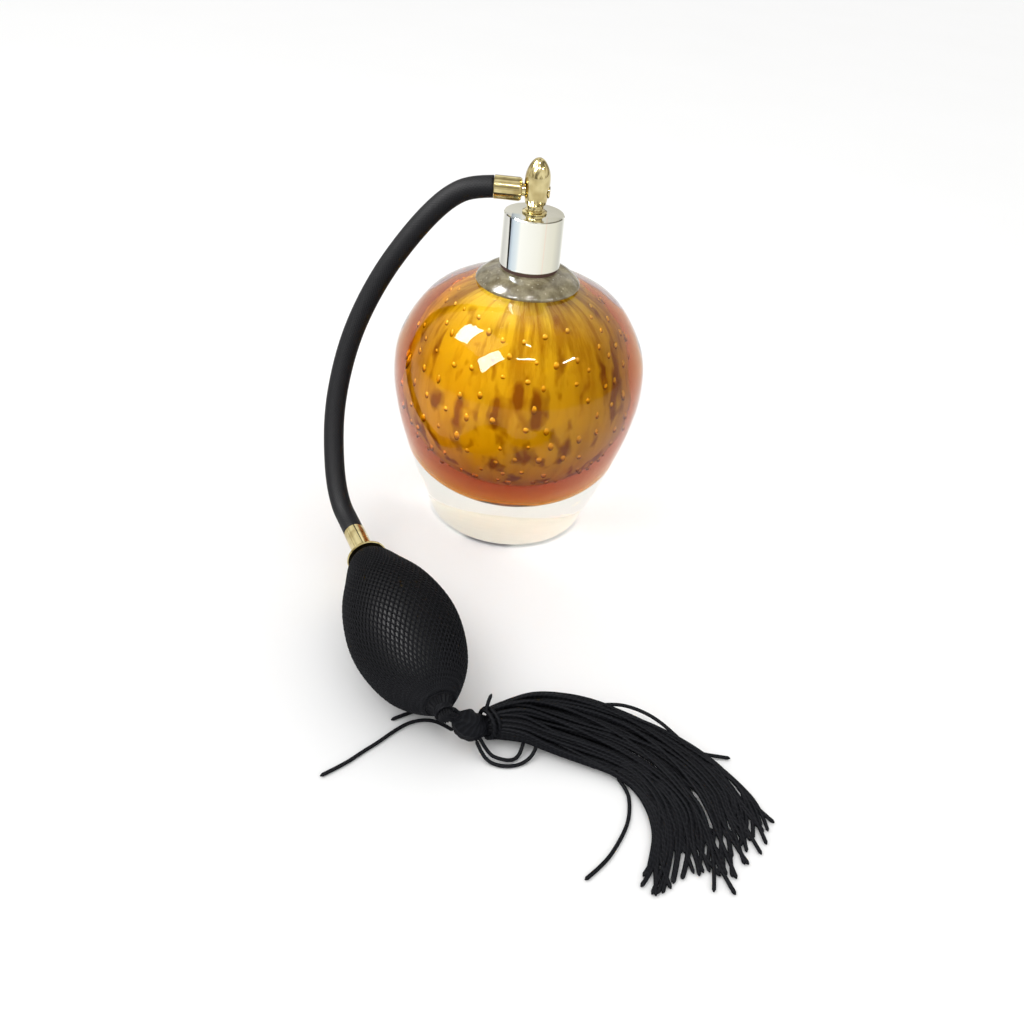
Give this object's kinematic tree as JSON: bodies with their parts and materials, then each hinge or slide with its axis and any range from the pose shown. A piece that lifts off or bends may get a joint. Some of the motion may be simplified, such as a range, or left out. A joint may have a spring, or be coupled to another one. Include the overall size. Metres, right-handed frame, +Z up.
{
  "type": "perfume atomiser",
  "caption": "Round cased-glass perfume bottle with a screw-on metal spray head, a rubber hose, a squeeze bulb in a knitted net and a long tassel.",
  "frame": {"origin": "centre of the bottle's flat foot, on the bottle's axis, on the surface it stands on", "axes": "+Z up along the bottle's axis; the side arm and hose leave the head towards -X, so the spray leaves towards +X; the bulb and tassel lie towards -Y"},
  "size_m": [0.1525, 0.2132, 0.1347],
  "materials": {
    "bottle_glass": "cased glass, clear over amber over mottled gold, with rows of small bubbles, polished",
    "gasket_cork": "dark brown ring, matt",
    "cement": "dried cement",
    "brass_plain": "machined brass",
    "gilt_brass": "gilt brass, polished, lightly worn",
    "cap_metal": "polished pale champagne plating",
    "washer_rubber": "moulded rubber",
    "tube_plastic": "translucent plastic tube",
    "hose_rubber": "black rubber, faintly ribbed along its length",
    "bulb_rubber": "black rubber",
    "net_cord": "knitted black rayon net",
    "tassel_cord": "twisted black rayon strands",
    "valve_steel": "steel ball"
  },
  "bodies": {
    "bottle": {"glass_bottle": "bottle_glass", "neck_gasket": "gasket_cork", "collar_cement": "cement", "threaded_collar": "brass_plain"},
    "seal": {"sealing_washer": "washer_rubber"},
    "cap": {"screw_cap": "cap_metal"},
    "head": {"head_stem": "brass_plain", "base_ring": "gilt_brass", "spray_head": "gilt_brass", "side_arm": "gilt_brass", "arm_ferrule": "gilt_brass", "air_jet": "brass_plain", "siphon_jet": "brass_plain", "nozzle_insert": "gilt_brass", "dip_tube": "tube_plastic", "rubber_hose": "hose_rubber"},
    "bulb": {"bulb_connector": "brass_plain", "bulb_ferrule": "gilt_brass", "bulb_flange": "gilt_brass", "valve_body": "brass_plain", "valve_retainer": "brass_plain", "net_gather": "net_cord", "net_tie": "net_cord"},
    "bulb_left": {"bulb_left_half": "bulb_rubber", "net_left_half": "net_cord"},
    "bulb_right": {"bulb_right_half": "bulb_rubber", "net_right_half": "net_cord"},
    "ball": {"valve_ball": "valve_steel"},
    "tassel": {"tassel_loop": "tassel_cord", "tassel_knot": "tassel_cord", "tassel_skirt": "tassel_cord", "tassel_strays": "tassel_cord"}
  },
  "joints": [
    {"name": "head_lift", "type": "slide", "parent": "bottle", "child": "seal", "axis": [0, 0, 1], "range_m": [0, 0.004]},
    {"name": "cap_turn", "type": "hinge", "parent": "seal", "child": "cap", "pos_m": [0, 0, 0.1087], "axis": [0, 0, 1], "range_deg": [0, 802]},
    {"name": "head_swivel", "type": "hinge", "parent": "seal", "child": "head", "pos_m": [0, 0, 0.1157], "axis": [0, 0, 1], "continuous": true},
    {"name": "hose_flex", "type": "hinge", "parent": "head", "child": "bulb", "pos_m": [-0.0546, -0.0449, 0.0174], "axis": [0, 0, 1], "range_deg": [-15, 20], "stiffness_Nm_per_rad": 0.02, "deforming": ["rubber_hose"]},
    {"name": "bulb_squeeze_right", "type": "slide", "parent": "bulb", "child": "bulb_right", "axis": [-0.8846, -0.4664, 0], "range_m": [0, 0.006], "stiffness_N_per_m": 400, "deforming": ["bulb_right_half", "net_right_half", "bulb_left_half", "net_left_half"]},
    {"name": "bulb_squeeze_left", "type": "slide", "parent": "bulb", "child": "bulb_left", "axis": [0.8846, 0.4664, 0], "range_m": [0, 0.006], "stiffness_N_per_m": 400},
    {"name": "valve_lift", "type": "slide", "parent": "bulb", "child": "ball", "axis": [-0.4664, 0.8846, 0], "range_m": [0, 0.0008]},
    {"name": "tassel_swing", "type": "hinge", "parent": "bulb", "child": "tassel", "pos_m": [-0.0085, -0.1262, 0.016], "axis": [0, 0, 1], "range_deg": [-12, 12]}
  ],
  "couplings": [
    {"joint": "cap_turn", "follows": "head_lift", "rad_per_m": 3490.7},
    {"joint": "bulb_squeeze_left", "follows": "bulb_squeeze_right", "ratio": 1}
  ]
}
